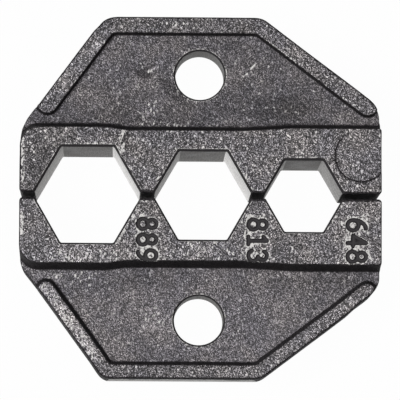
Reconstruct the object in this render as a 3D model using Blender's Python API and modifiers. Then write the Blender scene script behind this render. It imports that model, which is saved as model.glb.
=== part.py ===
"""Crimp die: the two halves of a hexagonal crimp die for a hand crimping tool.

Both halves are the same steel casting. A thick band along the parting face holds three
half-hexagon nests, and a thinner tang behind it carries the screw hole and a raised rim
along its outer edge. The lower half is the upper half's casting turned over about X.

Metres, +Z up: the die lies on its face, X runs along the nests, and Y is the direction
in which the halves close. The casting is modelled about its own mid plane, with its
parting face at Y = 0 and its tang towards +Y.
"""
import math

import bmesh
import bpy
from mathutils import Vector

# The nests, from left to right: size across flats, and the lands that part them.
NEST_SIZES = (0.00889, 0.008128, 0.006477)
NEST_CORNER_RADIUS = 0.00025
LAND_LEFT = 0.00152
LAND_BETWEEN = 0.00146
LAND_RIGHT = 0.00388

# The nest band. Its shoulder faces the tang and is relieved a little in the middle.
WALL_BEHIND_NESTS = 0.002025
BAND_STEP = 0.0015875
LAND_CORNER_RADIUS = 0.00035
BAND_LEFT_CORNER_RADIUS = 0.0019
BAND_RIGHT_CORNER_RADIUS = 0.0003
SHOULDER_RELIEF = 0.00028
RELIEF_FROM_LEFT = 0.00845
RELIEF_LEFT_RAMP = 0.002
RELIEF_FROM_RIGHT = 0.00874
RELIEF_RIGHT_RAMP = 0.0045
RELIEF_RADIUS = 0.0012
SHOULDER_DRAFT = math.radians(10)
EDGE_BREAK = 0.00013

# The tang: web, rim and outline.
TANG_HEIGHT = 0.01113
WEB_THICKNESS = 0.0046
TANG_SET_IN = 0.00008
TANG_LEFT_RISE = 0.00006
TANG_RIGHT_RISE = 0.00234
SEAT_FROM_LEFT = 0.0082
SEAT_FROM_RIGHT = 0.01172
TANG_LEFT_RADIUS = 0.0022
SEAT_LEFT_RADIUS = 0.0016
SEAT_RIGHT_RADIUS = 0.002
TANG_RIGHT_RADIUS = 0.0026
TANG_EDGE_BREAK = 0.0002

# The rim stops in a round end just clear of the shoulder, with a short flat at its tip.
RIM_HEIGHT = 0.000875
RIM_FOOT_WIDTH = 0.0017
RIM_INNER_RADIUS = 0.0004
RIM_END_CLEARANCE = 0.0014
RIM_END_FLAT = 0.00004

# The two faces differ. The rim's inner wall leans more, and is rounder, on the size face,
# and the fillet at the foot of the shoulder is larger on the mark face.
SIZE_FACE_LEAN = 0.0006
SIZE_FACE_ROUND = 0.00038
SIZE_FACE_FILLET = 0.00008
MARK_FACE_LEAN = 0.00016
MARK_FACE_ROUND = 0.0001
MARK_FACE_FILLET = 0.00045

SCREW_HOLE_DIAMETER = 0.0048
SCREW_HOLE_FROM_SEAT = 0.00577
SCREW_HOLE_LEFT_OF_MIDDLE = 0.00009
SCREW_HOLE_BREAK = 0.00015

# The round tool mark at the right end of the band, on the mark face alone.
MARK_RADIUS = 0.00255
MARK_FROM_END = 0.00202
MARK_FROM_PARTING = 0.00374
MARK_DEPTH = 0.00012

# How far apart the two parting faces lie at rest.
PARTING_GAP = 0.0005

# How finely arcs are drawn, how much of a quarter turn a fillet is drawn for, the angle
# from which an edge is shaded sharp, and how far a cutter runs past what it cuts.
CORNER_STEPS = 7
PROFILE_STEPS = 4
FILLET_SWEEP = math.radians(80)
SHARP_ANGLE = math.radians(22)
HOLE_SEGMENTS = 64
MARK_SEGMENTS = 72
OVERRUN = 0.0005

# Sizes that follow from those above.
RIM_FACE_HEIGHT = WEB_THICKNESS / 2 + RIM_HEIGHT
BAND_FACE_HEIGHT = RIM_FACE_HEIGHT + BAND_STEP
NEST_MOUTHS = tuple(2 * size / math.sqrt(3) for size in NEST_SIZES)
LANDS_BETWEEN = LAND_BETWEEN * (len(NEST_SIZES) - 1)
DIE_WIDTH = LAND_LEFT + sum(NEST_MOUTHS) + LANDS_BETWEEN + LAND_RIGHT
BAND_HEIGHT = max(NEST_SIZES) / 2 + WALL_BEHIND_NESTS
DIE_HEIGHT = BAND_HEIGHT + TANG_HEIGHT
LEFT_END = -DIE_WIDTH / 2
RIGHT_END = DIE_WIDTH / 2

# The two finishes, blackened casting skin and ground bare steel: colour, roughness, metallic.
BLACK_OXIDE = ((0.105, 0.103, 0.108, 1.0), 0.55, 0.6)
GROUND_STEEL = ((0.56, 0.55, 0.53, 1.0), 0.3, 1.0)


def clear_scene():
    for item in list(bpy.data.objects):
        bpy.data.objects.remove(item, do_unlink=True)


def new_collection(name):
    collection = bpy.data.collections.new(name)
    bpy.context.scene.collection.children.link(collection)
    return collection


def steel(name, finish):
    colour, roughness, metallic = finish
    material = bpy.data.materials.new(name)
    material.use_nodes = True
    material.diffuse_color = colour
    shader = material.node_tree.nodes["Principled BSDF"]
    shader.inputs["Base Color"].default_value = colour
    shader.inputs["Roughness"].default_value = roughness
    shader.inputs["Metallic"].default_value = metallic
    return material


# Outlines. A corner is (x, y, radius), and corners run anticlockwise seen from +Z.
# Side i runs from corner i to the next one, and moves outward by its own amount.

def crossing(point_a, along_a, point_b, along_b):
    """Where two straight lines in the plane meet."""
    reach = (point_b - point_a).cross(along_b) / along_a.cross(along_b)
    return point_a + along_a * reach


def moved_outline(corners, moves):
    """The same outline with its sides moved, and its radii kept concentric."""
    count = len(corners)
    points = [Vector(corner[:2]) for corner in corners]
    along = [(points[(i + 1) % count] - points[i]).normalized() for i in range(count)]
    starts = [points[i] + Vector((along[i].y, -along[i].x)) * moves[i] for i in range(count)]
    moved = []
    for i, (x, y, radius) in enumerate(corners):
        meeting = crossing(starts[i - 1], along[i - 1], starts[i], along[i])
        bulges = along[i - 1].cross(along[i]) > 0
        shared = min(moves[i - 1], moves[i])
        if radius > 0:
            radius = max(radius + (shared if bulges else -shared), EDGE_BREAK / 4)
        moved.append((meeting.x, meeting.y, radius))
    return moved


def rounded_points(corners):
    """The outline's points, with each corner that has a radius drawn as an arc."""
    count = len(corners)
    points = []
    for i, (x, y, radius) in enumerate(corners):
        corner = Vector((x, y))
        if radius == 0:
            points.append(corner)
            continue
        before = (Vector(corners[i - 1][:2]) - corner).normalized()
        after = (Vector(corners[(i + 1) % count][:2]) - corner).normalized()
        half_angle = before.angle(after) / 2
        centre = corner + (before + after).normalized() * radius / math.sin(half_angle)
        first = corner + before * radius / math.tan(half_angle) - centre
        last = corner + after * radius / math.tan(half_angle) - centre
        turn = first.angle_signed(last)
        for step in range(CORNER_STEPS + 1):
            angle = -turn * step / CORNER_STEPS
            cosine, sine = math.cos(angle), math.sin(angle)
            arm = Vector((first.x * cosine - first.y * sine, first.x * sine + first.y * cosine))
            points.append(centre + arm)
    return points


def loft(name, sections, material, collection):
    """A closed solid through outlines of equal point count, lowest section first."""
    form = bmesh.new()
    rings = []
    for height, corners in sections:
        rings.append([form.verts.new((p.x, p.y, height)) for p in rounded_points(corners)])
    for low, high in zip(rings, rings[1:]):
        for i in range(len(low)):
            j = (i + 1) % len(low)
            form.faces.new((low[i], low[j], high[j], high[i]))
    form.faces.new(list(reversed(rings[0])))
    form.faces.new(rings[-1])
    mesh = bpy.data.meshes.new(name)
    form.to_mesh(mesh)
    form.free()
    mesh.materials.append(material)
    solid = bpy.data.objects.new(name, mesh)
    collection.objects.link(solid)
    return solid


def as_cutter(item, collection):
    """Keeps a tool shape with the cutters and out of the part."""
    for owner in list(item.users_collection):
        owner.objects.unlink(item)
    collection.objects.link(item)
    item.hide_render = True
    item.display_type = "WIRE"
    return item


def combine(item, tool, operation):
    boolean = item.modifiers.new(tool.name, "BOOLEAN")
    boolean.object = tool
    boolean.operation = operation
    boolean.solver = "EXACT"
    boolean.material_mode = "TRANSFER"


# The casting's own shapes.

def tang_corners():
    left = LEFT_END + TANG_SET_IN
    right = RIGHT_END - TANG_SET_IN
    root = BAND_HEIGHT / 2
    return [
        (left, root, 0),
        (right, root, 0),
        (right, BAND_HEIGHT + TANG_RIGHT_RISE, TANG_RIGHT_RADIUS),
        (RIGHT_END - SEAT_FROM_RIGHT, DIE_HEIGHT, SEAT_RIGHT_RADIUS),
        (LEFT_END + SEAT_FROM_LEFT, DIE_HEIGHT, SEAT_LEFT_RADIUS),
        (left, BAND_HEIGHT + TANG_LEFT_RISE, TANG_LEFT_RADIUS),
    ]


def tang_plate(material, collection):
    """The tang at its rim's full thickness, with its outer edges broken."""
    corners = tang_corners()
    inset = moved_outline(corners, [-TANG_EDGE_BREAK] * len(corners))
    return loft("casting_pattern", [
        (-RIM_FACE_HEIGHT, inset),
        (-RIM_FACE_HEIGHT + TANG_EDGE_BREAK, corners),
        (RIM_FACE_HEIGHT - TANG_EDGE_BREAK, corners),
        (RIM_FACE_HEIGHT, inset),
    ], material, collection)


def rim_end(edge_start, edge_end):
    """Outer and inner corners of a rim's round end, low on one slanted edge.

    The rim runs down the edge from edge_start to edge_end and stops with a half round
    just clear of the shoulder. Its outer side is drawn OVERRUN outside the tang.
    """
    down = (edge_end - edge_start).normalized()
    inward = Vector((-down.y, down.x))
    if inward.y > 0:
        inward = -inward
    radius = (RIM_FOOT_WIDTH + OVERRUN) / 2
    middle = edge_start + inward * (RIM_FOOT_WIDTH - radius)
    drop = BAND_HEIGHT + RIM_END_CLEARANCE + radius - middle.y
    centre = middle + down * (drop / down.y)
    tip = centre + down * radius
    return tip - inward * radius, tip + inward * radius, radius


def pocket_corners():
    """The lowered web inside the rim: its floor outline, and which sides have a wall."""
    corners = tang_corners()
    right_low, right_high, left_high, left_low = [Vector(c[:2]) for c in corners[2:]]
    inner = moved_outline(corners, [-RIM_FOOT_WIDTH] * len(corners))
    right_outer, right_inner, end_radius = rim_end(right_high, right_low)
    left_outer, left_inner, end_radius = rim_end(left_high, left_low)
    right_edge = (right_high - right_low).normalized()
    left_edge = (left_high - left_low).normalized()
    right_out = right_outer + right_edge * end_radius * 2
    left_out = left_outer + left_edge * end_radius * 2
    beyond = DIE_WIDTH / 2 + RIM_FOOT_WIDTH
    # A corner here lies well inside the band, so the band's own walls close the pocket.
    root = BAND_HEIGHT * 0.75
    end_rounding = end_radius - RIM_END_FLAT / 2
    corners = [
        (-beyond, root, 0),
        (beyond, root, 0),
        (beyond, right_out.y, 0),
        (right_out.x, right_out.y, 0),
        (right_outer.x, right_outer.y, end_rounding),
        (right_inner.x, right_inner.y, end_rounding),
        (inner[3][0], inner[3][1], RIM_INNER_RADIUS),
        (inner[4][0], inner[4][1], RIM_INNER_RADIUS),
        (left_inner.x, left_inner.y, end_rounding),
        (left_outer.x, left_outer.y, end_rounding),
        (left_out.x, left_out.y, 0),
        (-beyond, left_out.y, 0),
    ]
    has_wall = [0, 0, 0, 0, 1, 1, 1, 1, 1, 0, 0, 0]
    return corners, has_wall


def rim_pocket(name, side, lean, rounding, material, collection):
    """Cutter that lowers the web on one face and leaves the rim standing.

    side is +1 for the face at +Z and -1 for the other. The wall leans outward as it
    rises from the web, and rolls over into the rim's face.
    """
    corners, has_wall = pocket_corners()
    floor = WEB_THICKNESS / 2
    profile = [(floor, 0), (RIM_FACE_HEIGHT - rounding, lean - rounding)]
    for step in range(1, PROFILE_STEPS + 1):
        angle = FILLET_SWEEP * step / PROFILE_STEPS
        rise = RIM_FACE_HEIGHT - rounding + rounding * math.sin(angle)
        profile.append((rise, lean - rounding * math.cos(angle)))
    profile.append((RIM_FACE_HEIGHT + OVERRUN, lean))
    sections = []
    for height, growth in profile:
        sections.append((side * height, moved_outline(corners, [growth * w for w in has_wall])))
    sections.sort(key=lambda section: section[0])
    return as_cutter(loft(name, sections, material, collection), collection)


def band_block(material, collection):
    """The nest band: drafted shoulder with a fillet at the web, and broken edges."""
    relieved = BAND_HEIGHT - SHOULDER_RELIEF
    corners = [
        (LEFT_END, 0, LAND_CORNER_RADIUS),
        (RIGHT_END, 0, LAND_CORNER_RADIUS),
        (RIGHT_END, BAND_HEIGHT, BAND_RIGHT_CORNER_RADIUS),
        (RIGHT_END - RELIEF_FROM_RIGHT, BAND_HEIGHT, RELIEF_RADIUS),
        (RIGHT_END - RELIEF_FROM_RIGHT - RELIEF_RIGHT_RAMP, relieved, RELIEF_RADIUS),
        (LEFT_END + RELIEF_FROM_LEFT + RELIEF_LEFT_RAMP, relieved, RELIEF_RADIUS),
        (LEFT_END + RELIEF_FROM_LEFT, BAND_HEIGHT, RELIEF_RADIUS),
        (LEFT_END, BAND_HEIGHT, BAND_LEFT_CORNER_RADIUS),
    ]
    is_shoulder = [0, 0, 1, 1, 1, 1, 1, 0]
    web_face = WEB_THICKNESS / 2

    def sections_from_face(fillet):
        """Heights above the mid plane with their outlines, from the band's face inward."""
        profile = [(BAND_FACE_HEIGHT - EDGE_BREAK, 0), (web_face + fillet, 0)]
        for step in range(1, PROFILE_STEPS + 1):
            angle = FILLET_SWEEP * step / PROFILE_STEPS
            height = web_face + fillet * (1 - math.sin(angle))
            profile.append((height, fillet * (1 - math.cos(angle))))
        profile.append((web_face - EDGE_BREAK, fillet))
        sections = [(BAND_FACE_HEIGHT, moved_outline(corners, [-EDGE_BREAK] * len(corners)))]
        for height, flare in profile:
            growth = (BAND_FACE_HEIGHT - height) * math.tan(SHOULDER_DRAFT) + flare
            sections.append((height, moved_outline(corners, [growth * s for s in is_shoulder])))
        return sections

    mark_side = sections_from_face(MARK_FACE_FILLET)
    size_side = [(-height, outline) for height, outline in sections_from_face(SIZE_FACE_FILLET)]
    return as_cutter(loft("band", size_side + mark_side[::-1], material, collection), collection)


def nest_cutters(material, collection):
    """One hexagonal cutter for each nest, flared at both faces to break the edges."""
    cutters = []
    left = LEFT_END + LAND_LEFT
    for number, (size, mouth) in enumerate(zip(NEST_SIZES, NEST_MOUTHS), start=1):
        centre = left + mouth / 2
        corners = []
        for corner in range(6):
            angle = math.radians(60 * corner)
            x = centre + mouth / 2 * math.cos(angle)
            y = mouth / 2 * math.sin(angle)
            # The two corners on the parting plane are sharp, so that the halves' nests meet.
            on_parting_plane = corner % 3 == 0
            corners.append((x, y, 0 if on_parting_plane else NEST_CORNER_RADIUS))
        flared = moved_outline(corners, [EDGE_BREAK + OVERRUN] * len(corners))
        cutter = loft(f"nest_{number}", [
            (-BAND_FACE_HEIGHT - OVERRUN, flared),
            (-BAND_FACE_HEIGHT + EDGE_BREAK, corners),
            (BAND_FACE_HEIGHT - EDGE_BREAK, corners),
            (BAND_FACE_HEIGHT + OVERRUN, flared),
        ], material, collection)
        cutters.append(as_cutter(cutter, collection))
        left += mouth + LAND_BETWEEN
    return cutters


def screw_hole_cutter(material, collection):
    """The turned shape of the through hole, with its mouths broken."""
    radius = SCREW_HOLE_DIAMETER / 2
    web_face = WEB_THICKNESS / 2
    mouth = radius + SCREW_HOLE_BREAK + OVERRUN
    profile = [
        (0, web_face + OVERRUN),
        (mouth, web_face + OVERRUN),
        (radius, web_face - SCREW_HOLE_BREAK),
        (radius, -web_face + SCREW_HOLE_BREAK),
        (mouth, -web_face - OVERRUN),
        (0, -web_face - OVERRUN),
    ]
    mesh = bpy.data.meshes.new("screw_hole")
    links = [(i, i + 1) for i in range(len(profile) - 1)]
    mesh.from_pydata([(x, 0, z) for x, z in profile], links, [])
    mesh.materials.append(material)
    cutter = bpy.data.objects.new("screw_hole", mesh)
    collection.objects.link(cutter)
    cutter.location = (-SCREW_HOLE_LEFT_OF_MIDDLE, DIE_HEIGHT - SCREW_HOLE_FROM_SEAT, 0)
    screw = cutter.modifiers.new("turn", "SCREW")
    screw.steps = HOLE_SEGMENTS
    screw.render_steps = HOLE_SEGMENTS
    screw.use_merge_vertices = True
    screw.merge_threshold = 0.000001
    return as_cutter(cutter, collection)


def mark_cutter(material, collection):
    """The shallow round left on the band by the die maker's stamping tool."""
    bpy.ops.mesh.primitive_cylinder_add(
        vertices=MARK_SEGMENTS, radius=MARK_RADIUS, depth=MARK_DEPTH + OVERRUN,
        location=(
            RIGHT_END - MARK_FROM_END,
            MARK_FROM_PARTING,
            BAND_FACE_HEIGHT + (OVERRUN - MARK_DEPTH) / 2,
        ))
    cutter = bpy.context.object
    cutter.name = "tool_mark"
    cutter.data.materials.append(material)
    return as_cutter(cutter, collection)


def casting_mesh(collection):
    """The finished casting, taken from the pattern once all its cuts are made."""
    skin = steel("casting_skin", BLACK_OXIDE)
    ground = steel("ground_wall", GROUND_STEEL)
    pattern = as_cutter(tang_plate(skin, collection), collection)
    size_pocket = rim_pocket(
        "size_face_pocket", -1, SIZE_FACE_LEAN, SIZE_FACE_ROUND, skin, collection)
    mark_pocket = rim_pocket(
        "mark_face_pocket", 1, MARK_FACE_LEAN, MARK_FACE_ROUND, skin, collection)
    combine(pattern, size_pocket, "DIFFERENCE")
    combine(pattern, mark_pocket, "DIFFERENCE")
    combine(pattern, band_block(skin, collection), "UNION")
    for cutter in nest_cutters(ground, collection):
        combine(pattern, cutter, "DIFFERENCE")
    combine(pattern, screw_hole_cutter(ground, collection), "DIFFERENCE")
    combine(pattern, mark_cutter(skin, collection), "DIFFERENCE")

    depsgraph = bpy.context.evaluated_depsgraph_get()
    mesh = bpy.data.meshes.new_from_object(pattern.evaluated_get(depsgraph))
    mesh.name = "die_casting"
    mesh.shade_smooth()
    mesh.set_sharp_from_angle(angle=SHARP_ANGLE)
    return mesh


def place_die(name, mesh, side, collection):
    """One half, on its own side of the parting plane: +1 above it and -1 below."""
    die = bpy.data.objects.new(name, mesh)
    collection.objects.link(die)
    die.location = (0, side * PARTING_GAP / 2, BAND_FACE_HEIGHT)
    die.rotation_euler.x = 0 if side > 0 else math.pi
    finishes = (
        steel(name + "_skin", BLACK_OXIDE),
        steel(name + "_ground", GROUND_STEEL),
    )
    for slot, finish in zip(die.material_slots, finishes):
        slot.link = "OBJECT"
        slot.material = finish
    return die


clear_scene()
parts = new_collection("crimp_die")
cutters = new_collection("cutters")
casting = casting_mesh(cutters)
place_die("upper_die", casting, 1, parts)
place_die("lower_die", casting, -1, parts)
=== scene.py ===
"""Looks of the hexagonal crimp die: two blackened steel castings with ground nests."""
import math

import bmesh
import bpy
import numpy as np
from mathutils import Euler, Matrix, Vector


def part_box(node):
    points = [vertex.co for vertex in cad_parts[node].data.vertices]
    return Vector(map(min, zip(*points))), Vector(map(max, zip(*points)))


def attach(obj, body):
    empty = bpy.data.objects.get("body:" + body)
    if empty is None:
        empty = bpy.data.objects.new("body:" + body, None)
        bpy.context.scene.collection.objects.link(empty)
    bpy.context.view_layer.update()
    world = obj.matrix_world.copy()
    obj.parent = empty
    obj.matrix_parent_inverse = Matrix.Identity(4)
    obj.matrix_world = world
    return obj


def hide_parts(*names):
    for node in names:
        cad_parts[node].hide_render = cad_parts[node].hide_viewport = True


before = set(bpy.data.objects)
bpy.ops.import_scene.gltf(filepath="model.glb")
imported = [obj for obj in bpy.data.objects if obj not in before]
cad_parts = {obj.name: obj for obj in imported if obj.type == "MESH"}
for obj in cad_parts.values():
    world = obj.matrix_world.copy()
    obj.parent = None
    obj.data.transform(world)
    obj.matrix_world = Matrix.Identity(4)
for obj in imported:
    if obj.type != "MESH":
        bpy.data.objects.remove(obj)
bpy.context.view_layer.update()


# Upper half. One piece of alloy steel, cast to shape, blasted and blackened in hot salts. It
# lies with its plain face up. Its half nests are ground through it while it is clamped to the
# lower half, and its screw hole is drilled. Knocks in service have left dents and bright nicks.
SKIN_PITCH = 0.0001
SKIN_TRIANGLES = 170000
WELD_REACH = 0.000001
LUMP_SIZES = (0.0004, 0.0011, 0.0035)
LUMP_HEIGHTS = (0.000004, 0.000007, 0.000012)
WALL_SLOPE = (0.10, 0.26)
HOLLOW_GAIN = 2.0
PROUD_GAIN = 2.0
BEND_SPREAD = 2
DIE_LEFT, _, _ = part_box("upper_die")[0]
_, _, BAND_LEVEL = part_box("upper_die")[1]
PARTING_GAP = 2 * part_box("upper_die")[0].y
WEB_LEVEL = 0.0070625
RAISED_FROM = 0.0074
MIDDLE_LEVEL = BAND_LEVEL / 2


def lumps(points, size, seed):
    """Smooth random heights from -1 to 1, with bumps about as wide as size."""
    cells = points / size
    low = np.floor(cells).astype(int)
    part = cells - low
    part = part * part * (3 - 2 * part)
    low -= low.min(0)
    lattice = np.random.default_rng(seed).uniform(-1, 1, low.max(0) + 2)
    heights = np.zeros(len(points))
    for corner in np.ndindex(2, 2, 2):
        share = np.prod(np.where(corner, part, 1 - part), axis=1)
        heights += share * lattice[tuple((low + corner).T)]
    return heights


def fine_form(node):
    """The node's solid as an even mesh of small quads."""
    solid = bpy.data.objects.new("form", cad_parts[node].data.copy())
    bpy.context.scene.collection.objects.link(solid)
    weld = solid.modifiers.new("weld", "WELD")
    weld.merge_threshold = WELD_REACH
    remesh = solid.modifiers.new("remesh", "REMESH")
    remesh.mode = "VOXEL"
    remesh.voxel_size = SKIN_PITCH
    depsgraph = bpy.context.evaluated_depsgraph_get()
    form = bpy.data.meshes.new_from_object(solid.evaluated_get(depsgraph))
    bpy.data.objects.remove(solid)
    return form


def spread(values, edges, rounds):
    """Each point's values averaged with its neighbours', a number of times over."""
    counts = np.bincount(edges.ravel(), minlength=len(values)) + 1
    for _ in range(rounds):
        total = values.copy()
        for column in range(values.shape[1]):
            for here, there in ((0, 1), (1, 0)):
                total[:, column] += np.bincount(
                    edges[:, here], weights=values[edges[:, there], column],
                    minlength=len(values))
        values = total / counts[:, None]
    return values


def step(values, low, high):
    """0 below low and 1 above high, with a soft run between."""
    share = np.clip((values - low) / (high - low), 0, 1)
    return share * share * (3 - 2 * share)


def warped(points, warps):
    """The points moved where this casting differs a little from its pattern.

    A warp is x, y, the radius that moves whole, the run over which it dies away, and its move.
    """
    moved = points.copy()
    for x, y, radius, run, along, across in warps:
        away = np.hypot(points[:, 0] - x, points[:, 1] - y)
        share = 1 - step(away, radius, radius + run)
        moved[:, 0] += along * share
        moved[:, 1] += across * share
    return moved


def cast_skin(node, seed, warps, touches, tones):
    """The half's form with its lumps and touches, and what its skin is like at each place.

    The colour attribute skin holds how much painted shade a point gets, on steep walls, in
    hollows and from the touches, whether the face is a raised one, how rubbed and brightened it
    is, and its tone, where 0.5 is the usual one.
    """
    form = fine_form(node)
    edges = np.empty(len(form.edges) * 2, np.int32)
    form.edges.foreach_get("vertices", edges)
    edges = edges.reshape(-1, 2)
    points = np.empty(len(form.vertices) * 3, np.float32)
    form.vertices.foreach_get("co", points)
    points = warped(spread(points.reshape(-1, 3).astype(float), edges, 1), warps)
    form.vertices.foreach_set("co", points.astype(np.float32).ravel())
    form.update()
    normals = np.empty(len(form.vertices) * 3, np.float32)
    form.vertex_normals.foreach_get("vector", normals)
    normals = normals.reshape(-1, 3).astype(float)

    inward = np.sum((spread(points, edges, 1) - points) * normals, axis=1) / SKIN_PITCH
    bend = spread(inward[:, None], edges, BEND_SPREAD)[:, 0]
    # Painted shade: steep walls and hollows are made near black in the skin, for the shade that
    # falls on them.
    steep = step(1 - np.abs(normals[:, 2]), *WALL_SLOPE)
    wall = np.maximum(steep, np.clip(bend * HOLLOW_GAIN, 0, 1))
    rise, more_wall, rubbed = touches(points)
    rubbed = rubbed + np.clip(-bend * PROUD_GAIN, 0, 1) * (wall < 0.5)
    tone = np.full(len(points), 0.5)
    for x, y, width, height, change in tones:
        reach = ((points[:, 0] - x) / width) ** 2 + ((points[:, 1] - y) / height) ** 2
        tone += change * np.exp(-2 * reach)
    raised = np.abs(points[:, 2] - MIDDLE_LEVEL) > RAISED_FROM - MIDDLE_LEVEL
    skin = np.stack([np.maximum(wall, more_wall), raised, rubbed, tone], axis=1).clip(0, 1)

    for number, (size, height) in enumerate(zip(LUMP_SIZES, LUMP_HEIGHTS)):
        rise = rise + height * lumps(points, size, seed + number)
    low, high = [np.array(corner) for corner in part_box(node)]
    points = np.clip(points + normals * rise[:, None], low, high)
    form.vertices.foreach_set("co", points.astype(np.float32).ravel())
    form.color_attributes.new("skin", "FLOAT_COLOR", "POINT").data.foreach_set(
        "color", skin.astype(np.float32).ravel())
    form.materials.clear()
    form.materials.append(black_oxide)
    piece = bpy.data.objects.new(node.replace("die", "casting"), form)
    bpy.context.scene.collection.objects.link(piece)
    thin = piece.modifiers.new("thin", "DECIMATE")
    thin.ratio = SKIN_TRIANGLES / (2 * len(form.polygons))
    return piece


class Finish:
    """A material, built up from nodes that are added and linked by name."""

    def __init__(self, name):
        self.material = bpy.data.materials.new(name)
        self.material.use_nodes = True
        self.nodes = self.material.node_tree.nodes
        self.shader = self.nodes["Principled BSDF"]
        self.place = self.add("ShaderNodeTexCoord").outputs["Object"]

    def add(self, kind, inputs=None, **settings):
        node = self.nodes.new(kind)
        for key, value in settings.items():
            setattr(node, key, value)
        for key, value in (inputs or {}).items():
            if isinstance(value, bpy.types.NodeSocket):
                self.material.node_tree.links.new(value, node.inputs[key])
            else:
                node.inputs[key].default_value = value
        return node

    def noise(self, size, detail=2.0, place=None, distortion=0.0):
        """Noise with features about size across, from 0 to 1."""
        return self.add("ShaderNodeTexNoise", {
            "Vector": place or self.place, "Scale": 1 / size, "Detail": detail,
            "Distortion": distortion}).outputs["Fac"]

    def cells(self, size, place=None):
        """Random cells of about the given size: their distances and three random values."""
        cells = self.add("ShaderNodeTexVoronoi", {
            "Vector": place or self.place, "Scale": 1 / size, "Randomness": 1.0})
        chances = self.add("ShaderNodeSeparateColor", {"Color": cells.outputs["Color"]})
        return cells.outputs["Distance"], *chances.outputs[:3]

    def stretched(self, turn, stretch):
        """Places in which patterns run stretch times as long along the given turn."""
        return self.add("ShaderNodeMapping", {
            "Vector": self.place, "Rotation": (0, 0, turn), "Scale": (stretch, 1, 1),
        }, vector_type="TEXTURE").outputs["Vector"]

    def math(self, operation, *values):
        return self.add("ShaderNodeMath", dict(enumerate(values)), operation=operation).outputs[0]

    def about(self, value, gain):
        """A value that swings about 0.5, moved to swing about 0 and made gain times as wide."""
        return self.math("MULTIPLY_ADD", value, gain, -gain / 2)

    def span(self, value, low, high, to_low=0.0, to_high=1.0):
        return self.add("ShaderNodeMapRange", {
            "Value": value, "From Min": low, "From Max": high,
            "To Min": to_low, "To Max": to_high}).outputs["Result"]

    def mix(self, share, first, second, blend="MIX"):
        return self.add("ShaderNodeMix", {
            "Factor": share, 6: first, 7: second}, data_type="RGBA", blend_type=blend).outputs[2]

    def times(self, colour, value):
        grey = self.add("ShaderNodeCombineColor", {0: value, 1: value, 2: value}).outputs[0]
        return self.mix(1.0, colour, grey, "MULTIPLY")

    def bump(self, height, depth, under=None):
        inputs = {"Height": height, "Strength": 1.0, "Distance": depth}
        if under is not None:
            inputs["Normal"] = under
        return self.add("ShaderNodeBump", inputs).outputs["Normal"]

    def done(self, **sockets):
        for key, value in sockets.items():
            socket = self.shader.inputs[key.replace("_", " ")]
            if isinstance(value, bpy.types.NodeSocket):
                self.material.node_tree.links.new(value, socket)
            else:
                socket.default_value = value
        return self.material


WEB_OXIDE = (0.094, 0.088, 0.092, 1)
BLASTED_OXIDE = (0.114, 0.108, 0.110, 1)
# Painted shade: the near black that walls, hollows, cut edges and stamped figures take.
WALL_SHADE_BLACK = (0.026, 0.024, 0.0255, 1)
WALL_CALM = 0.5
# Rubbed steel, which also colours the patches of painted glints among the scars.
RUBBED_AND_GLINT_STEEL = (0.60, 0.585, 0.57, 1)
# Painted highlight: the colour of the bright glint specks.
GLINT_HIGHLIGHT = (0.74, 0.72, 0.70, 1)
GRAIN_SIZE = 0.00008
GRAIN_TURN = math.radians(-58)
GRAIN_STRETCH = 1.3
GRAIN_WAVER = 0.8
GRAIN_GAIN = 2.8
RIM_GAIN = 4.0
RIM_MIDDLE = 0.42
GRIT_SIZE = 0.00017
CLUSTER_SIZE = 0.0005
CLUSTER_GAIN = 0.8
PATCH_SIZE = 0.0028
PATCH_GAIN = 0.9
TONE_GAIN = 2.0
WEB_CALM = 0.78
GRAIN_DEPTH = 0.000012
GLINT_SIZE = 0.00015
GLINT_STRETCH = 1.7
GLINT_RARE = 0.95
GLINT_TURNS = (math.radians(-35), math.radians(-100))
GLINT_CALM = 0.5
GLINT_OUTLINE = (0.6, 0.5)
GLINT_CLUSTERS = (0.42, 0.56)
GLINT_BETWEEN = 0.25
GLINT_FAINTEST = 0.4
COLD_TINT = (0.97, 0.975, 1.035, 1)
WARM_TINT = (1.015, 0.995, 0.985, 1)
TINT_PATCHES = (0.35, 0.65)
WORN_RUN = 0.08
WORN_GRIT = (0.36, 0.50)
SKIN_SHEEN = 0.15
WALL_SHEEN = 0.03
SKIN_ROUGHNESS = (0.7, 0.5)

MARK_PLACE = (0.0157, 0.00399)
MARK_RADIUS = 0.00255
MARK_LINE = 0.00011
MARK_FAINT = 0.25
MARK_REACH_DOWN = 0.002
MARK_DEEP_SIDE = math.radians(-118)

SCAR_RAGGED = 0.8
SCAR_EDGE = (1.35, 1.05)
SCAR_REACH_DOWN = 0.012
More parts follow.
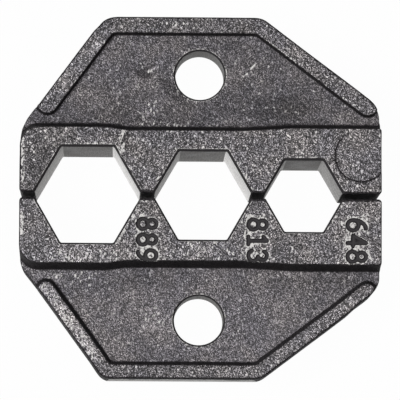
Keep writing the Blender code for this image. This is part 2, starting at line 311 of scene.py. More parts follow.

# Scars on the upper faces, with strips of painted shade along the left edges, the lower-left
# rim, the parting gap and the upper shoulder, and patches of painted glints, in millimetres:
# x, y, turn, length, width, black, bright and lift.
SCARS_SHADE_AND_GLINTS = [
    # Worn bright lines on the left edges, each beside a strip of painted shade.
    (-17.40, 3.3, 90, 6.4, 0.46, 0, 0.7, 0),
    (-17.74, 3.3, 90, 9.0, 0.44, 1, 0, 0),
    (-17.48, -2.9, 90, 3.0, 0.60, 0, 0.7, 0),
    (-17.76, -4.2, 90, 8.0, 0.34, 1, 0, 0),
    # A strip of painted glints on the lower-left slope, and painted shade along its rim.
    (-12.87, -12.27, -54.5, 12.0, 1.9, 0, 0.22, 0.35),
    (-13.42, -12.67, -54.5, 17.0, 0.66, 1, 0, 0),
    (-4.9, 17.1, 0, 16.0, 1.3, 0, 0.08, -0.05),
    (-5.60, 12.20, -16, 2.3, 0.95, 0.5, 0, -0.2),
    (-4.70, 12.95, 42, 2.2, 0.90, 0, 0.25, 0.6),
    (-2.84, 10.7, -46, 4.2, 1.7, 0.3, 0, -0.3),
    (-4.9, 8.5, 60, 3.0, 2.4, 0, 0.22, 0.25),
    (-7.10, 5.6, 76, 1.5, 0.50, 0, 0.45, 0.4),
    (-7.56, 5.5, 72, 1.7, 0.40, 0.8, 0, 0),
    (-7.70, 4.3, 30, 0.9, 0.50, 0, 0.9, 0),
    (-3.90, 1.8, 20, 0.7, 0.45, 0, 0.9, 0),
    (5.17, 13.1, 50, 1.4, 0.28, 0, 0.6, 0.2),
    (4.40, 12.2, 40, 0.9, 0.28, 0, 0.6, 0.2),
    (7.90, 14.45, -36.9, 5.6, 0.34, 0, 0.45, 0),
    (7.70, 8.9, 0, 8.0, 3.2, 0, 0, -0.3),
    (-9.0, 10.0, -50, 7.0, 2.6, 0, 0, -0.12),
    (2.6, 15.2, 0, 5.0, 1.6, 0, 0, -0.2),
    (-6.0, -13.8, -20, 6.0, 2.8, 0, 0, -0.12),
    (10.5, -8.4, 0, 12.0, 1.4, 0, 0, -0.15),
    (-6.5, -8.3, 0, 6.0, 1.6, 0, 0, -0.2),
    # Patches of painted glints.
    (-11.0, -5.9, 0, 11.0, 1.5, 0, 0.16, 0.08),
    (0.8, -5.3, 0, 11.0, 2.4, 0, 0.12, 0),
    (-2.5, 6.9, 0, 12.0, 2.0, 0, 0.12, 0),
    (-12.0, -8.0, 0, 8.0, 1.8, 0, 0.12, 0.08),
    (-4.7, -12.0, 30, 4.5, 3.5, 0, 0.10, 0.08),
    # Painted shade along both sides of the parting gap and along the upper shoulder.
    (0, 0.34, 0, 60, 0.42, 1, 0, 0),
    (0, -0.38, 0, 60, 0.44, 1, 0, 0),
    (-14.4, 6.86, 1, 8.0, 0.66, 0.9, 0, 0),
    (-4.5, 6.70, 0, 16.0, 0.46, 0.7, 0, 0),
]


def add_scars_shade_and_glints(finish, rough):
    """How black, how bright and how much lighter the scars, the strips of painted shade, the patches
    of painted glints and the round mark's line of painted shade make the skin.
    """
    black, bright, lift = 0.0, 0.0, 0.0
    for x, y, turn, length, width, blacker, brighter, lighter in SCARS_SHADE_AND_GLINTS:
        place = finish.add("ShaderNodeMapping", {
            "Vector": finish.place, "Location": (x / 1000, y / 1000, BAND_LEVEL),
            "Rotation": (0, 0, math.radians(turn)),
            "Scale": (length / 2000, width / 2000, SCAR_REACH_DOWN),
        }, vector_type="TEXTURE").outputs["Vector"]
        away = finish.add("ShaderNodeVectorMath", {0: place}, operation="LENGTH").outputs["Value"]
        near = finish.span(finish.math("MULTIPLY_ADD", rough, SCAR_RAGGED, away), *SCAR_EDGE)
        if blacker:
            black = finish.math("MULTIPLY_ADD", near, blacker, black)
        if brighter:
            bright = finish.math("MULTIPLY_ADD", near, brighter, bright)
        if lighter:
            lift = finish.math("MULTIPLY_ADD", near, lighter, lift)
    # The round mark's edge as a line of painted shade, darkest on its deep side.
    centre = finish.add("ShaderNodeMapping", {
        "Vector": finish.place, "Location": (*MARK_PLACE, BAND_LEVEL),
        "Rotation": (0, 0, MARK_DEEP_SIDE),
        "Scale": (MARK_RADIUS, MARK_RADIUS, MARK_REACH_DOWN),
    }, vector_type="TEXTURE").outputs["Vector"]
    away = finish.add("ShaderNodeVectorMath", {0: centre}, operation="LENGTH").outputs["Value"]
    side = finish.add("ShaderNodeSeparateXYZ", {"Vector": centre}).outputs["X"]
    off = finish.math("ABSOLUTE", finish.math("SUBTRACT", away, 1.0))
    line = MARK_LINE / MARK_RADIUS
    ring = finish.math("MULTIPLY", finish.span(off, 1.5 * line, 0.3 * line),
                       finish.span(side, -0.7, 0.0, MARK_FAINT, 1.0))
    return finish.math("ADD", black, ring), bright, lift


def make_black_oxide():
    """Blackened cast skin: grains of all greys, calmer on the web than on the raised faces."""
    finish = Finish("black_oxide")
    skin = finish.add("ShaderNodeAttribute", attribute_name="skin")
    wall, raised, rubbed = finish.add(
        "ShaderNodeSeparateColor", {"Color": skin.outputs["Color"]}).outputs[:3]
    strokes = finish.stretched(GRAIN_TURN, GRAIN_STRETCH)
    middle, grain, _, _ = finish.cells(GRAIN_SIZE, strokes)
    grit = finish.noise(GRIT_SIZE, 3.0, strokes, GRAIN_WAVER)
    cluster = finish.noise(CLUSTER_SIZE, 3.0, strokes, GRAIN_WAVER)
    patch = finish.noise(PATCH_SIZE, 3.0)
    swing = finish.math("ADD", finish.about(grain, GRAIN_GAIN), finish.about(cluster, CLUSTER_GAIN))
    dark_rim = finish.math("MULTIPLY_ADD", middle, -RIM_GAIN, RIM_MIDDLE * RIM_GAIN)
    swing = finish.math("ADD", swing, dark_rim)
    swing = finish.math("MULTIPLY", swing, finish.span(raised, 0, 1, WEB_CALM, 1))
    swing = finish.math("ADD", swing, finish.about(patch, PATCH_GAIN))
    swing = finish.math("ADD", swing, finish.about(skin.outputs["Alpha"], TONE_GAIN))
    black, bright, lift = add_scars_shade_and_glints(finish, grit)
    swing = finish.math("ADD", swing, lift)
    level = finish.math("EXPONENT", swing)
    oxide = finish.times(finish.mix(raised, WEB_OXIDE, BLASTED_OXIDE), level)
    # Painted highlights: sparse bright specks in the colour, standing for glints of light on the
    # grains.
    for turn in GLINT_TURNS:
        lie = finish.stretched(turn, GLINT_STRETCH)
        middle, chance, strength, _ = finish.cells(GLINT_SIZE, lie)
        rare = finish.span(chance, GLINT_RARE, GLINT_RARE + 0.01)
        glint = finish.math("MULTIPLY", finish.span(middle, *GLINT_OUTLINE), rare)
        glint = finish.math(
            "MULTIPLY", glint, finish.span(cluster, *GLINT_CLUSTERS, GLINT_BETWEEN, 1.0))
        glint = finish.math("MULTIPLY", glint, finish.span(strength, 0, 1, GLINT_FAINTEST, 1.0))
        glint = finish.math("MULTIPLY", glint, finish.span(raised, 0, 1, GLINT_CALM, 1.0))
        oxide = finish.mix(glint, oxide, GLINT_HIGHLIGHT)
    tint = finish.mix(finish.span(patch, *TINT_PATCHES), COLD_TINT, WARM_TINT)
    oxide = finish.mix(1.0, oxide, tint, "MULTIPLY")
    black = finish.math("MINIMUM", black, 1.0)
    # Painted shade: walls, hollows, the touches and the strips of shade go near black, keeping a
    # calm grain.
    dark = finish.math("MAXIMUM", wall, black)
    rubbed = finish.math("MULTIPLY", rubbed, finish.math("SUBTRACT", 1.0, black))
    bright = finish.math("MULTIPLY", bright, finish.math("SUBTRACT", 1.0, dark))
    bare = finish.math("SUBTRACT", 1.0, finish.math("MAXIMUM", rubbed, bright))
    wall_level = finish.math("EXPONENT", finish.math("MULTIPLY", swing, WALL_CALM))
    oxide = finish.mix(dark, oxide, finish.times(WALL_SHADE_BLACK, wall_level))
    # Rubbed places and the patches of painted glints show as flecks too, where the last glints'
    # cells have a high enough chance.
    worn_and_glint_flecks = finish.span(chance, bare, finish.math("ADD", bare, WORN_RUN))
    worn_and_glint_flecks = finish.math("MULTIPLY", worn_and_glint_flecks, finish.span(grit, *WORN_GRIT))
    oxide = finish.mix(worn_and_glint_flecks, oxide, RUBBED_AND_GLINT_STEEL)
    relief = finish.bump(finish.noise(GRIT_SIZE * 2, 3.0), GRAIN_DEPTH * 2)
    relief = finish.bump(grit, GRAIN_DEPTH, relief)
    return finish.done(
        Base_Color=oxide, Metallic=0.0, Normal=relief,
        Specular_IOR_Level=finish.span(dark, 0.0, 0.8, SKIN_SHEEN, WALL_SHEEN),
        Roughness=finish.span(grit, 0.3, 0.7, *SKIN_ROUGHNESS))


black_oxide = make_black_oxide()

# Painted light and shade: one ground steel in a lit, a half shaded and a shaded copy.
STEEL_DARK = (0.66, 0.65, 0.64, 1)
STEEL_LIGHT = (0.96, 0.95, 0.94, 1)
HALF_SHADED_DARK = (0.22, 0.215, 0.21, 1)
HALF_SHADED_LIGHT = (0.52, 0.51, 0.50, 1)
SHADED_DARK = (0.05, 0.047, 0.045, 1)
SHADED_LIGHT = (0.20, 0.19, 0.18, 1)
GRIND_LINE = 0.00010
GRIND_LENGTH = 12
GRIND_DEPTH = 0.000004
GRIND_TONES = (0.25, 0.70)
STAIN_SIZE = 0.0014
STEEL_ROUGHNESS = (0.42, 0.6)
EDGE_SHADE_CHIPS = (0.62, 0.85)


def make_ground_steel(name, dark, light, metallic):
    """Ground walls: wheel lines through the thickness, with faint stains."""
    finish = Finish(name)
    lines = finish.noise(GRIND_LINE, 3.0, finish.add("ShaderNodeMapping", {
        "Vector": finish.place, "Scale": (1, 1, 1 / GRIND_LENGTH)}).outputs["Vector"])
    stain = finish.noise(STAIN_SIZE, 4.0)
    tone = finish.math("ADD", lines, finish.about(stain, 1.0))
    steel = finish.mix(finish.span(tone, *GRIND_TONES), dark, light)
    return finish.done(
        Base_Color=steel, Metallic=metallic, Normal=finish.bump(lines, GRIND_DEPTH),
        Specular_IOR_Level=SKIN_SHEEN,
        Roughness=finish.span(stain, 0.3, 0.7, *STEEL_ROUGHNESS))


def make_edge_shade():
    """The broken edge round each cut, made near black as a line of painted shade."""
    finish = Finish("edge_shade")
    chips = finish.noise(GRAIN_SIZE, 2.0)
    return finish.done(
        Base_Color=finish.mix(finish.span(chips, *EDGE_SHADE_CHIPS), WALL_SHADE_BLACK, WEB_OXIDE),
        Metallic=0.0, Specular_IOR_Level=SKIN_SHEEN, Roughness=0.7)


ground_steel = make_ground_steel("ground_steel", STEEL_DARK, STEEL_LIGHT, 0.85)
half_shaded_steel = make_ground_steel("half_shaded_steel", HALF_SHADED_DARK, HALF_SHADED_LIGHT, 0.4)
shaded_steel = make_ground_steel("shaded_steel", SHADED_DARK, SHADED_LIGHT, 0.15)
edge_shade = make_edge_shade()

# The places of the finishes in a half's list of materials, once its cuts are made.
GROUND, EDGE_SHADE, SHADED, HALF_SHADED, STAMPED = range(5)
NEST_SIZES = (0.00889, 0.008128, 0.006477)
LAND_LEFT = 0.00152
LAND_BETWEEN = 0.00146
# Painted light and shade: each nest's left slopes, right slopes and flats take a copy by the side
# they face.
NEST_FINISHES = ((HALF_SHADED, GROUND, SHADED), (HALF_SHADED, GROUND, SHADED), (HALF_SHADED, HALF_SHADED, SHADED))
NEST_CORNER_RADIUS = 0.00025
NEST_CORNER_STEPS = 3
LEVEL_WITHIN = 0.000001
GRIND_ALLOWANCE = 0.00002
CUT_OVERRUN = 0.0005
SCREW_HOLE_RADIUS = 0.0024
HOLE_STEPS = 96
HOLE_BREAK = 0.00019
SEAT_ENDS = (-0.012, 0.009)
SEAT_GROUND = ((0.0005, 0.01779), (0.0090, 0.01788))
SEAT_OVERRUN = 0.0186
SHARP_ANGLE = math.radians(35)


def add_cutter(form, sections, finishes, sides=None):
    """Adds a closed skin through sections of equal count, each a height and its outline.

    Each finish is the number of the material between one section and the next. Sides are the
    numbers that the walls between the two edges take instead: the left, the right, and the flat.
    """
    rings = [[form.verts.new((x, y, height)) for x, y in outline] for height, outline in sections]
    for low, high, finish in zip(rings, rings[1:], finishes):
        for i, here in enumerate(low):
            j = (i + 1) % len(low)
            face = form.faces.new((here, low[j], high[j], high[i]))
            face.material_index = finish
            if sides and low is rings[1]:
                run = low[j].co - here.co
                face.material_index = sides[2 if abs(run.y) < LEVEL_WITHIN else run.y > 0]
    form.faces.new(rings[0][::-1])
    form.faces.new(rings[-1])


def hexagon(x, y, across, corner_radius):
    """A hexagon's outline, flat at top and bottom, with the corners there rounded."""
    points = []
    for corner in range(6):
        angle = math.radians(60 * corner)
        reach = across / math.sqrt(3)
        if corner % 3 == 0:
            points.append((x + reach * math.cos(angle), y))
            continue
        centre = reach - corner_radius * 2 / math.sqrt(3)
        for part in range(-NEST_CORNER_STEPS, NEST_CORNER_STEPS + 1):
            turn = angle + math.radians(30 * part / NEST_CORNER_STEPS)
            points.append((x + centre * math.cos(angle) + corner_radius * math.cos(turn),
                           y + centre * math.sin(angle) + corner_radius * math.sin(turn)))
    return points


def round_outline(x, y, radius):
    turns = [math.tau * part / HOLE_STEPS for part in range(HOLE_STEPS)]
    return [(x + radius * math.cos(turn), y + radius * math.sin(turn)) for turn in turns]


def cut_sections(low, high, edge_break, outline):
    """Sections for a cut from low to high, whose two edges are broken at 45 degrees."""
    over = edge_break + CUT_OVERRUN
    return [(low - CUT_OVERRUN, outline(over)), (low + edge_break, outline(0)),
            (high - edge_break, outline(0)), (high + CUT_OVERRUN, outline(over))]


def add_ground_cuts(form, side, hole, edge_break):
    """The three nests, the screw hole and the seat of one half: side is 1 above and -1 below."""
    left = DIE_LEFT + LAND_LEFT
    for size, sides in zip(NEST_SIZES, NEST_FINISHES):
        mouth = 2 * size / math.sqrt(3)
        add_cutter(form, cut_sections(0, BAND_LEVEL, edge_break, lambda growth: hexagon(
            left + mouth / 2, side * PARTING_GAP / 2,
            size + 2 * (GRIND_ALLOWANCE + growth), NEST_CORNER_RADIUS)), (EDGE_SHADE, GROUND, EDGE_SHADE), sides)
        left += mouth + LAND_BETWEEN
    radius = SCREW_HOLE_RADIUS + GRIND_ALLOWANCE
    drill = cut_sections(BAND_LEVEL - WEB_LEVEL, WEB_LEVEL, HOLE_BREAK,
                         lambda growth: round_outline(*hole, radius + growth))
    # The screw hole's wall takes the shaded copy of the ground steel.
    add_cutter(form, drill, (EDGE_SHADE, SHADED, EDGE_SHADE))
    ends = SEAT_ENDS if side > 0 else SEAT_ENDS[::-1]
    seat = [(height, [(ends[0], side * place), (ends[1], side * place),
                      (ends[1], side * SEAT_OVERRUN), (ends[0], side * SEAT_OVERRUN)])
            for height, place in SEAT_GROUND]
    # The seat takes the half shaded copy.
    add_cutter(form, seat, (HALF_SHADED,))


def finish_half(piece, node, form, finishes):
    """Cuts the form out of the half, leaving its finishes there, and sets it in the frame."""
    mesh = bpy.data.meshes.new("cuts")
    form.to_mesh(mesh)
    form.free()
    for material in finishes:
        mesh.materials.append(material)
    cutter = bpy.data.objects.new("cuts", mesh)
    bpy.context.scene.collection.objects.link(cutter)
    boolean = piece.modifiers.new("cut", "BOOLEAN")
    boolean.operation = "DIFFERENCE"
    boolean.solver = "EXACT"
    boolean.material_mode = "TRANSFER"
    boolean.object = cutter
    depsgraph = bpy.context.evaluated_depsgraph_get()
    whole = bpy.data.meshes.new_from_object(piece.evaluated_get(depsgraph))
    piece.modifiers.clear()
    piece.data = whole
    bpy.data.objects.remove(cutter)
    points = np.empty(len(whole.vertices) * 3, np.float32)
    whole.vertices.foreach_get("co", points)
    low, high = [np.array(corner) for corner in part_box(node)]
    points = np.clip(points.reshape(-1, 3), low, high)
    whole.vertices.foreach_set("co", points.astype(np.float32).ravel())
    whole.shade_smooth()
    whole.set_sharp_from_angle(angle=SHARP_ANGLE)
    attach(piece, node)
    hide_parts(node)


FACE_DEPTH = 0.0003
KNOCK_RAG = 0.35
KNOCK_RAG_SIZE = 0.0003
KNOCK_DARK = 0.85
PARTING_EDGE_DEPTH = 0.0004
PARTING_RAG = 0.5
PARTING_RAG_SIZE = 0.0007
SLOPE_BRIGHT_PLACE = 0.00030
SLOPE_BRIGHT_WIDTH = 0.00012
SLOPE_BRIGHT_FADES = (0.0004, 0.0003)
SLOPE_BRIGHT_GAPS = 0.0006


def knocks(points, level, places):
    """Dents in the face at level: how far each point sinks, the painted shade on each dent's near
    flank, and how bright its far flank is, rubbed and partly a painted highlight.

    A place is x, y, length, width, turn and depth.
    """
    push, dark, rub = np.zeros((3, len(points)))
    near = np.abs(points[:, 2] - level) < FACE_DEPTH
    ragged = lumps(points[near], KNOCK_RAG_SIZE, 5)
    for x, y, length, width, turn, depth in places:
        along = (points[near, 0] - x) * math.cos(turn) + (points[near, 1] - y) * math.sin(turn)
        across = (points[near, 1] - y) * math.cos(turn) - (points[near, 0] - x) * math.sin(turn)
        reach = np.hypot(along / length, across / width) * 2 + KNOCK_RAG * ragged
        push[near] -= depth * np.exp(-reach ** 2)
        rim = np.exp(-((reach - 0.5) / 0.5) ** 2)
        # Painted shade on each dent's near flank, and a rubbed far flank that is partly a painted
        # highlight.
        dark[near] += KNOCK_DARK * rim * step(-across / width, -0.3, 0.2)
        rub[near] += np.exp(-((reach - 0.9) / 0.4) ** 2) * step(across / width, -0.1, 0.3)
    return push, dark, rub


def parting_gap_shade(points, width, seed):
    """How much painted shade each point of the face gets beside the parting gap, where the edge is
    rounded.
    """
    near = (np.abs(points[:, 1]) - PARTING_GAP / 2) / width
    near += PARTING_RAG * lumps(points, PARTING_RAG_SIZE, seed)
    return (points[:, 2] > BAND_LEVEL - PARTING_EDGE_DEPTH) * (1 - step(near, 0.7, 1.3))


def brightened_slope_edges(points, side, shares):
    """How much brighter each point is made along the edge of each nest's right-hand slope."""
    face = points[:, 2] > BAND_LEVEL - FACE_DEPTH
    rub = np.zeros(len(points))
    left = DIE_LEFT + LAND_LEFT
    for size, share in zip(NEST_SIZES, shares):
        mouth = 2 * size / math.sqrt(3)
        rise = side * points[:, 1] - PARTING_GAP / 2
        out = (points[:, 0] - left - mouth) * math.cos(math.pi / 6) + rise * math.sin(math.pi / 6)
        along = step(rise, 0, SLOPE_BRIGHT_FADES[0])
        along *= 1 - step(rise, size / 2, size / 2 + SLOPE_BRIGHT_FADES[1])
        rub += share * face * along * np.exp(-((out - SLOPE_BRIGHT_PLACE) / SLOPE_BRIGHT_WIDTH) ** 2)
        left += mouth + LAND_BETWEEN
    return rub * step(lumps(points, SLOPE_BRIGHT_GAPS, 21), -0.6, 0.2)


UPPER_BREAK = 0.00024
UPPER_HOLE = (-0.00009, 0.01215)
UPPER_WARPS = [
    (-0.00009, 0.01208, 0.0026, 0.0016, 0, 0.00007),
    (-0.01725, 0.0022, 0.0008, 0.0010, -0.00008, 0),
    (-0.01660, 0.0081, 0.0004, 0.0010, -0.00006, 0.00012),
    (-0.00960, 0.0174, 0.0004, 0.0012, 0.00009, -0.00009),
]
UPPER_PARTING_DARK = 0.00014
UPPER_SLOPE_BRIGHT = (0.5, 0.6, 0.4)
MARK_DEEPER = 0.00009
UPPER_KNOCKS = [
    (-0.00736, 0.0055, 0.0017, 0.0009, math.radians(80), 0.00012),
    (-0.00779, 0.0039, 0.0010, 0.0005, math.radians(40), 0.00008),
    (-0.00396, 0.0016, 0.0006, 0.0004, math.radians(20), 0.00006),
]
UPPER_WEB_KNOCKS = [
    (-0.00507, 0.0131, 0.0016, 0.0009, math.radians(30), 0.00012),
    (0.00496, 0.0133, 0.0014, 0.0002, math.radians(50), 0.00002),
]
UPPER_TONES = [
    (0.0130, 0.0040, 0.0060, 0.0030, 0.06),
    (0.0020, 0.0090, 0.0160, 0.0020, -0.06),
    (0.0080, 0.0120, 0.0070, 0.0040, -0.03),
    (-0.0100, 0.0130, 0.0080, 0.0040, 0.07),
    (-0.0150, 0.0040, 0.0040, 0.0040, -0.19),
    (-0.0030, 0.0060, 0.0060, 0.0020, -0.06),
    (-0.0060, 0.0080, 0.0080, 0.0015, -0.06),
    (0.0085, 0.0087, 0.0036, 0.0022, -0.15),
    (-0.0040, 0.0080, 0.0090, 0.0012, -0.10),
    (0.0079, 0.0116, 0.0016, 0.0012, 0.08),
    (-0.0052, 0.0090, 0.0012, 0.0009, 0.14),
    (-0.0130, 0.0125, 0.0012, 0.0030, 0.05),
    (-0.0020, 0.0171, 0.0110, 0.0014, -0.14),
    (-0.0158, 0.0025, 0.0018, 0.0030, -0.15),
]


def upper_touches(points):
    """Knocks, and the solid's round mark sunk deeper towards one side."""
    push, dark, rub = knocks(points, BAND_LEVEL, UPPER_KNOCKS)
    web_push, web_dark, _ = knocks(points, WEB_LEVEL, UPPER_WEB_KNOCKS)
    across, along = points[:, 0] - MARK_PLACE[0], points[:, 1] - MARK_PLACE[1]
    away = np.hypot(across, along)
    deep = 0.5 + 0.5 * np.cos(np.arctan2(along, across) - MARK_DEEP_SIDE)
    face = points[:, 2] > BAND_LEVEL - FACE_DEPTH
    edge = np.clip((away - MARK_RADIUS) / MARK_LINE, -1, 1)
    sunk = face * deep * (1 - step(edge, -0.6, 0.6)) * np.clip(away / MARK_RADIUS, 0, 1) ** 2
    rub += brightened_slope_edges(points, 1, UPPER_SLOPE_BRIGHT)
    # Painted shade from the knocks on the web and beside the parting gap.
    dark += web_dark + parting_gap_shade(points, UPPER_PARTING_DARK, 31)
    return push + web_push - MARK_DEEPER * sunk, dark, rub


upper = cast_skin("upper_die", 11, UPPER_WARPS, upper_touches, UPPER_TONES)
cuts = bmesh.new()
add_ground_cuts(cuts, 1, UPPER_HOLE, UPPER_BREAK)
finish_half(upper, "upper_die", cuts, [ground_steel, edge_shade, shaded_steel, half_shaded_steel])


# Lower half. The same casting turned over, so that the face with the nest sizes is up. Each
# size is stamped beside its nest with hand punches, and reads from the right-hand end. The
# punch's cut is painted black to the bottom as shade, and the metal that it pushed up is rubbed
# bright.
LOWER_BREAK = 0.00019
LOWER_HOLE = (-0.00009, -0.01208)
LOWER_WARPS = [
    (-0.01350, -0.0126, 0.0040, 0.0030, 0.00006, 0.00006),
    (0.01660, -0.0103, 0.0010, 0.0016, -0.00009, 0.00009),
]
FIGURES = ("889", "813", "648")
FIGURE_HEIGHT = 0.00182
FIGURE_WIDTH = 0.00102
FIGURE_ADVANCE = 0.00154
STROKE_RADIUS = 0.00022
STROKE_LIFT = 0.00001
FIGURE_PITCH = 0.00006
FIGURE_FEET = (-0.00612, 0.00467, 0.01435)
FIGURE_TOP = -0.00232
LIP_HEIGHT = 0.00002
LIP_WIDTH = 0.00006
LIP_RUB = 0.42
LOWER_PARTING_DARK = 0.00010
LOWER_SLOPE_BRIGHT = (0.7, 0.3, 0.2)
LOWER_KNOCKS = [
    (-0.0061, -0.0008, 0.0007, 0.0005, math.radians(60), 0.00009),
]
LOWER_TONES = [
    (0.0, -0.0125, 0.0200, 0.0060, 0.16),
    (-0.0130, -0.0050, 0.0050, 0.0030, 0.08),
    (0.0140, -0.0040, 0.0050, 0.0040, 0.04),
    (-0.0105, -0.0060, 0.0040, 0.0012, 0.06),
    (0.0005, -0.0055, 0.0040, 0.0012, 0.07),
    (-0.0150, -0.0110, 0.0016, 0.0050, 0.09),
    (-0.0020, -0.0172, 0.0110, 0.0012, -0.12),
    (-0.0070, -0.0078, 0.0026, 0.0008, -0.08),
    (0.0130, -0.0078, 0.0045, 0.0009, -0.10),
]


def arc(x, y, radius_x, radius_y, start, end, parts=14):
    """Points on an arc in a figure's own square, from start to end in degrees."""
    turns = [math.radians(start + (end - start) * part / parts) for part in range(parts + 1)]
    return [(x + radius_x * math.cos(turn), y + radius_y * math.sin(turn)) for turn in turns]


# The paths of each punch's edge. A figure is 1 high and 1 wide.
STROKES = {
    "1": [[(0.15, 0.80), (0.55, 1.0), (0.55, 0.0)], [(0.15, 0.0), (0.9, 0.0)]],
    "3": [arc(0.46, 0.755, 0.42, 0.245, 160, -80) + arc(0.46, 0.265, 0.50, 0.265, 80, -165)],
    "4": [[(0.70, 0.0), (0.70, 1.0), (0.0, 0.30), (1.0, 0.30)]],
    "6": [arc(0.50, 0.30, 0.50, 0.30, 0, 360), arc(0.90, 0.32, 0.90, 0.68, 180, 95)],
    "8": [arc(0.50, 0.76, 0.41, 0.24, 0, 360), arc(0.50, 0.265, 0.50, 0.265, 0, 360)],
    "9": [arc(0.50, 0.70, 0.50, 0.30, 0, 360), arc(0.10, 0.68, 0.90, 0.68, 0, -85)],
}


def figure_paths():
    """The strokes of all nine figures on the lower half, as paths in x and y."""
    paths = []
    for foot, number in zip(FIGURE_FEET, FIGURES):
        for place, figure in enumerate(number):
            start = FIGURE_TOP - place * FIGURE_ADVANCE
            for stroke in STROKES[figure]:
                paths.append([(foot + v * FIGURE_HEIGHT, start - u * FIGURE_WIDTH)
                              for u, v in stroke])
    return paths


def add_stamp(form, finish):
    """Round rods along the strokes, joined into one closed skin."""
    rods = bmesh.new()
    for path in figure_paths():
        for (ax, ay), (bx, by) in zip(path, path[1:]):
            run = Vector((bx - ax, by - ay, 0))
            middle = Vector(((ax + bx) / 2, (ay + by) / 2, BAND_LEVEL + STROKE_LIFT))
            turn = run.to_track_quat("Z", "Y").to_matrix().to_4x4()
            bmesh.ops.create_cone(
                rods, cap_ends=True, segments=16, radius1=STROKE_RADIUS, radius2=STROKE_RADIUS,
                depth=run.length, matrix=Matrix.Translation(middle) @ turn)
        for x, y in path:
            bmesh.ops.create_icosphere(
                rods, subdivisions=2, radius=STROKE_RADIUS,
                matrix=Matrix.Translation((x, y, BAND_LEVEL + STROKE_LIFT)))
    mesh = bpy.data.meshes.new("strokes")
    rods.to_mesh(mesh)
    rods.free()
    joined = bpy.data.objects.new("strokes", mesh)
    bpy.context.scene.collection.objects.link(joined)
    remesh = joined.modifiers.new("join", "REMESH")
    remesh.mode = "VOXEL"
    remesh.voxel_size = FIGURE_PITCH
    depsgraph = bpy.context.evaluated_depsgraph_get()
    skin = bpy.data.meshes.new_from_object(joined.evaluated_get(depsgraph))
    bpy.data.objects.remove(joined)
    before = len(form.faces)
    form.from_mesh(skin)
    form.faces.ensure_lookup_table()
    for face in form.faces[before:]:
        face.material_index = finish


# Painted shade: the near black of the figures' bottoms, a little lighter inside.
STAMPED_SHADE = (0.036, 0.033, 0.035, 1)
STAMPED_LIGHTER = (0.45, 0.8)


def make_stamped():
    """The bottoms of the figures: packed smooth by the punch, painted near black as shade, a little
    lighter inside.
    """
    finish = Finish("stamped_shade")
    grain = finish.noise(GRAIN_SIZE * 1.5, 2.0)
    dark = finish.mix(finish.span(grain, *STAMPED_LIGHTER), WALL_SHADE_BLACK, STAMPED_SHADE)
    return finish.done(
        Base_Color=dark, Metallic=0.0, Specular_IOR_Level=SKIN_SHEEN, Roughness=0.6,
        Normal=finish.bump(grain, GRAIN_DEPTH / 2))


def lower_touches(points):
    """Knocks, and the metal that the punches pushed up round each figure."""
    push, dark, rub = knocks(points, BAND_LEVEL, LOWER_KNOCKS)
    face = points[:, 2] > BAND_LEVEL - SKIN_PITCH * 2
    spots = points[face, :2]
    near = np.full(len(spots), 1.0)
    for path in figure_paths():
        for start, end in zip(path, path[1:]):
            run = np.subtract(end, start)
            offset = spots - start
            share = np.clip(offset @ run / (run @ run), 0, 1)
            near = np.minimum(near, np.linalg.norm(offset - share[:, None] * run, axis=1))
    lip = np.exp(-((near - STROKE_RADIUS - LIP_WIDTH) / LIP_WIDTH) ** 2)
    push[face] += LIP_HEIGHT * lip
    rub[face] += LIP_RUB * lip
    rub += brightened_slope_edges(points, -1, LOWER_SLOPE_BRIGHT)
    # Painted shade beside the parting gap.
    return push, dark + parting_gap_shade(points, LOWER_PARTING_DARK, 37), rub


lower = cast_skin("lower_die", 47, LOWER_WARPS, lower_touches, LOWER_TONES)
cuts = bmesh.new()
add_ground_cuts(cuts, -1, LOWER_HOLE, LOWER_BREAK)
add_stamp(cuts, STAMPED)
finish_half(lower, "lower_die", cuts, [
    ground_steel, edge_shade, shaded_steel, half_shaded_steel, make_stamped()])


# Floor. A plain pale sheet under the die, white to the camera and in reflections, with a
# faint shadow kept on it.
FLOOR_SIZE = 3.0
FLOOR_DROP = 0.00002
FLOOR_GLOW_SHARE = 0.98
PAPER = (0.45, 0.45, 0.45, 1)


def make_floor_paper():
    finish = Finish("floor_paper")
    path = finish.add("ShaderNodeLightPath")
    seen = finish.math("MAXIMUM", path.outputs["Is Camera Ray"], path.outputs["Is Glossy Ray"])
    seen = finish.math("MAXIMUM", seen, path.outputs["Is Transmission Ray"])
    glow = finish.add("ShaderNodeEmission", {"Color": (1, 1, 1, 1), "Strength": 1.0})
    paper = finish.done(Base_Color=PAPER, Roughness=0.9)
    mix = finish.add("ShaderNodeMixShader", {
        0: finish.math("MULTIPLY", seen, FLOOR_GLOW_SHARE),
        1: finish.shader.outputs[0], 2: glow.outputs[0]})
    output = finish.nodes["Material Output"]
    paper.node_tree.links.new(mix.outputs[0], output.inputs["Surface"])
    return paper


bpy.ops.mesh.primitive_plane_add(size=FLOOR_SIZE, location=(0, 0, -FLOOR_DROP))
floor = bpy.context.object
floor.name = "floor"
floor.data.materials.append(make_floor_paper())


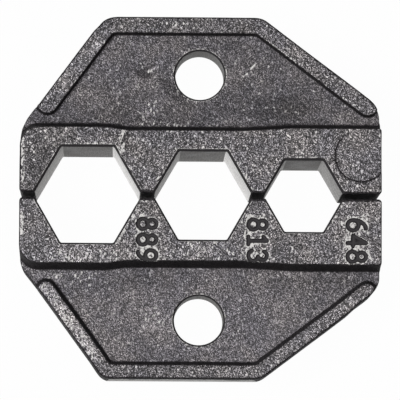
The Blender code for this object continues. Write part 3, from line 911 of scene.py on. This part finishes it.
# Light. A soft lamp high on the left that lights the right-hand walls of the nests, a weaker
# one over the camera, and a dim even sky.
SIDE_PLACE = (-0.26, -0.04, 0.54)
SIDE_SIZE = 0.30
SIDE_POWER = 3.5
KEY_PLACE = (0.08, -0.02, 0.62)
KEY_SIZE = 0.22
KEY_POWER = 1.0
SKY_STRENGTH = 0.06


def soft_lamp(name, place, size, power):
    lamp = bpy.data.lights.new(name, "AREA")
    lamp.shape = "DISK"
    lamp.size = size
    lamp.energy = power
    holder = bpy.data.objects.new(name, lamp)
    holder.location = place
    holder.rotation_euler = (-Vector(place)).to_track_quat("-Z", "Y").to_euler()
    bpy.context.scene.collection.objects.link(holder)


soft_lamp("side_lamp", SIDE_PLACE, SIDE_SIZE, SIDE_POWER)
soft_lamp("key_lamp", KEY_PLACE, KEY_SIZE, KEY_POWER)

world = bpy.data.worlds.new("sky")
world.use_nodes = True
bpy.context.scene.world = world
sky = world.node_tree
sky_path = sky.nodes.new("ShaderNodeLightPath")
seen = sky.nodes.new("ShaderNodeMath")
seen.operation = "MAXIMUM"
sky.links.new(sky_path.outputs["Is Camera Ray"], seen.inputs[0])
sky.links.new(sky_path.outputs["Is Transmission Ray"], seen.inputs[1])
strength = sky.nodes.new("ShaderNodeMapRange")
strength.inputs["To Min"].default_value = SKY_STRENGTH
strength.inputs["To Max"].default_value = 1.0
sky.links.new(seen.outputs[0], strength.inputs["Value"])
sky.links.new(strength.outputs["Result"], sky.nodes["Background"].inputs["Strength"])
sky.nodes["Background"].inputs["Color"].default_value = (1, 1, 1, 1)


# Camera. A long lens almost square above the die, from a little below its middle, so that the
# far walls of the nests just show.
CAMERA_PLACE = (-0.007314, -0.037105, 0.372608)
CAMERA_TILT = (0.10047, -0.02046, 0.00505)
CAMERA_LENS = 336.275
SENSOR_WIDTH = 36

lens = bpy.data.cameras.new("camera")
lens.sensor_width = SENSOR_WIDTH
lens.lens = CAMERA_LENS
lens.clip_start = 0.01
lens.clip_end = 10
camera = bpy.data.objects.new("camera", lens)
camera.location = CAMERA_PLACE
camera.rotation_euler = Euler(CAMERA_TILT, "XYZ")
bpy.context.scene.collection.objects.link(camera)
bpy.context.scene.camera = camera
bpy.context.scene.view_settings.view_transform = "Standard"
